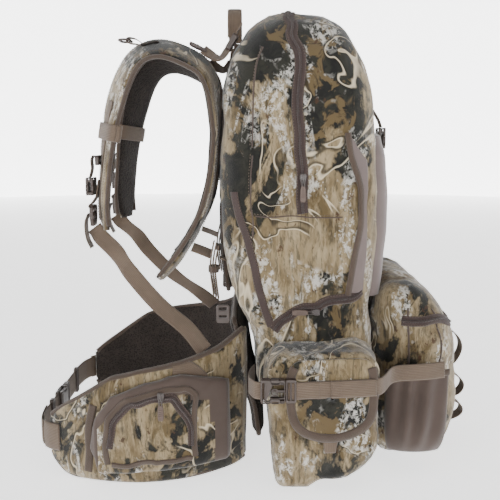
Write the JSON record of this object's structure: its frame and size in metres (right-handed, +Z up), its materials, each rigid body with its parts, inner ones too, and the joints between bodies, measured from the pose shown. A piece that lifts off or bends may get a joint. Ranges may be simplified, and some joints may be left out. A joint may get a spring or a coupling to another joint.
{
  "type": "hunting backpack",
  "caption": "Hunting backpack with a tall main bag, side and front pouches, padded shoulder harness and a padded hip belt with pockets.",
  "frame": {"origin": "middle of the lower bag's flat bottom, where the pack stands", "axes": "+Z up, +Y towards the wearer's back and the harness, -X the wearer's left"},
  "size_m": [0.511, 0.676, 0.7025],
  "materials": {
    "camo": "matte printed polyester",
    "mesh": "open spacer mesh",
    "stretch": "smooth stretch cloth",
    "pocket_cloth": "plain weave",
    "webbing": "ribbed webbing",
    "zip_tape": "coil zipper tape",
    "buckle_plastic": "moulded acetal",
    "slider_metal": "painted",
    "patch": "woven patch",
    "lining": "coated lining",
    "sheet_plastic": "sheet",
    "stay_metal": "bar"
  },
  "bodies": {
    "pack": {"upper_bag": "camo", "lower_bag": "camo", "front_pouch": "camo", "side_pocket_left": "camo", "side_pocket_right": "camo", "hip_wing_left": "camo", "hip_wing_right": "camo", "wing_pocket_left": "camo", "wing_pocket_right": "camo", "shoulder_strap_left": "camo", "shoulder_strap_right": "camo", "back_panel": "mesh", "lumbar_pad": "mesh", "front_drop_panel": "stretch", "bottle_pocket_left": "pocket_cloth", "bottle_pocket_right": "pocket_cloth", "compression_webbing": "webbing", "front_webbing": "webbing", "keeper_bands": "webbing", "strap_tabs": "webbing", "load_lifters": "webbing", "adjuster_webbing": "webbing", "strap_anchors": "webbing", "haul_anchors": "webbing", "belt_webbing": "webbing", "daisy_chain": "webbing", "main_zipper": "zip_tape", "lower_zipper": "zip_tape", "pouch_zipper": "zip_tape", "compression_housings": "buckle_plastic", "front_housings": "buckle_plastic", "lifter_buckles": "buckle_plastic", "belt_housing": "buckle_plastic", "belt_adjusters": "buckle_plastic", "strap_patch": "patch", "hydration_sleeve": "lining", "frame_sheet": "sheet_plastic", "frame_stays": "stay_metal"},
    "side_flap_left": {"side_flap_left": "camo"},
    "compression_latch_left": {"compression_latch_left": "buckle_plastic"},
    "main_zip_slider_left": {"main_zip_slider_left": "slider_metal"},
    "wing_zip_slider_left": {"wing_zip_slider_left": "slider_metal"},
    "d_ring_left": {"d_ring_left": "buckle_plastic"},
    "ladder_lock_left": {"ladder_lock_left": "buckle_plastic"},
    "loose_buckle_left": {"loose_buckle_left": "buckle_plastic"},
    "side_flap_right": {"side_flap_right": "camo"},
    "compression_latch_right": {"compression_latch_right": "buckle_plastic"},
    "main_zip_slider_right": {"main_zip_slider_right": "slider_metal"},
    "wing_zip_slider_right": {"wing_zip_slider_right": "slider_metal"},
    "d_ring_right": {"d_ring_right": "buckle_plastic"},
    "ladder_lock_right": {"ladder_lock_right": "buckle_plastic"},
    "loose_buckle_right": {"loose_buckle_right": "buckle_plastic"},
    "front_latch_upper": {"front_latch_upper": "buckle_plastic"},
    "front_latch_lower": {"front_latch_lower": "buckle_plastic"},
    "belt_latch": {"belt_latch": "buckle_plastic"},
    "lower_zip_slider": {"lower_zip_slider": "slider_metal"},
    "pouch_zip_slider": {"pouch_zip_slider": "slider_metal"},
    "haul_loop": {"haul_loop": "webbing"},
    "sternum_housing": {"sternum_housing": "buckle_plastic"},
    "sternum_latch": {"sternum_latch": "buckle_plastic"}
  },
  "joints": [
    {"name": "flap_lift_left", "type": "hinge", "parent": "pack", "child": "side_flap_left", "pos_m": [-0.2425, -0.013, 0.142], "axis": [0, 1, 0], "range_deg": [0, 75]},
    {"name": "compression_release_left", "type": "slide", "parent": "pack", "child": "compression_latch_left", "axis": [0, -1, 0], "range_m": [0, 0.022], "deforming": ["compression_webbing"]},
    {"name": "main_zip_left", "type": "slide", "parent": "pack", "child": "main_zip_slider_left", "axis": [0.0499, 0.0548, 0.9972], "range_m": [0, 0.08]},
    {"name": "wing_zip_left", "type": "slide", "parent": "pack", "child": "wing_zip_slider_left", "axis": [-0.1961, 0.9806, 0], "range_m": [-0.02, 0.02]},
    {"name": "d_ring_swing_left", "type": "hinge", "parent": "pack", "child": "d_ring_left", "pos_m": [-0.092, 0.277, 0.646], "axis": [1, 0, 0], "range_deg": [-40, 110]},
    {"name": "ladder_lock_tilt_left", "type": "hinge", "parent": "pack", "child": "ladder_lock_left", "pos_m": [-0.092, 0.341, 0.402], "axis": [1, 0, 0], "range_deg": [-2, 45]},
    {"name": "loose_buckle_swing_left", "type": "hinge", "parent": "pack", "child": "loose_buckle_left", "pos_m": [-0.134, 0.141, 0.251], "axis": [1, 0, 0], "range_deg": [-20, 20]},
    {"name": "flap_lift_right", "type": "hinge", "parent": "pack", "child": "side_flap_right", "pos_m": [0.2425, -0.013, 0.142], "axis": [0, -1, 0], "range_deg": [0, 75]},
    {"name": "compression_release_right", "type": "slide", "parent": "pack", "child": "compression_latch_right", "axis": [0, -1, 0], "range_m": [0, 0.022], "deforming": ["compression_webbing"]},
    {"name": "main_zip_right", "type": "slide", "parent": "pack", "child": "main_zip_slider_right", "axis": [-0.0499, 0.0548, 0.9972], "range_m": [0, 0.08]},
    {"name": "wing_zip_right", "type": "slide", "parent": "pack", "child": "wing_zip_slider_right", "axis": [0.1961, 0.9806, 0], "range_m": [-0.02, 0.02]},
    {"name": "d_ring_swing_right", "type": "hinge", "parent": "pack", "child": "d_ring_right", "pos_m": [0.092, 0.277, 0.646], "axis": [1, 0, 0], "range_deg": [-40, 110]},
    {"name": "ladder_lock_tilt_right", "type": "hinge", "parent": "pack", "child": "ladder_lock_right", "pos_m": [0.092, 0.341, 0.402], "axis": [1, 0, 0], "range_deg": [-2, 45]},
    {"name": "loose_buckle_swing_right", "type": "hinge", "parent": "pack", "child": "loose_buckle_right", "pos_m": [0.134, 0.141, 0.251], "axis": [1, 0, 0], "range_deg": [-20, 20]},
    {"name": "front_release_upper", "type": "slide", "parent": "pack", "child": "front_latch_upper", "axis": [0, 0, -1], "range_m": [0, 0.018], "deforming": ["front_webbing"]},
    {"name": "front_release_lower", "type": "slide", "parent": "pack", "child": "front_latch_lower", "axis": [0, 0, 1], "range_m": [0, 0.018], "deforming": ["front_webbing"]},
    {"name": "belt_release", "type": "slide", "parent": "pack", "child": "belt_latch", "axis": [1, 0, 0], "range_m": [0, 0.028], "deforming": ["belt_webbing"]},
    {"name": "lower_zip", "type": "slide", "parent": "pack", "child": "lower_zip_slider", "axis": [0, -0.9996, 0.03], "range_m": [0, 0.03]},
    {"name": "pouch_zip", "type": "slide", "parent": "pack", "child": "pouch_zip_slider", "axis": [1, 0, 0], "range_m": [-0.04, 0.04]},
    {"name": "haul_loop_swing", "type": "hinge", "parent": "pack", "child": "haul_loop", "pos_m": [0, 0.124, 0.654], "axis": [1, 0, 0], "range_deg": [-75, 35]},
    {"name": "sternum_swing_left", "type": "hinge", "parent": "pack", "child": "sternum_housing", "pos_m": [-0.092, 0.339, 0.47], "axis": [1, 0, 0], "range_deg": [-2, 60]},
    {"name": "sternum_swing_right", "type": "hinge", "parent": "pack", "child": "sternum_latch", "pos_m": [0.092, 0.339, 0.47], "axis": [1, 0, 0], "range_deg": [-2, 60]}
  ]
}
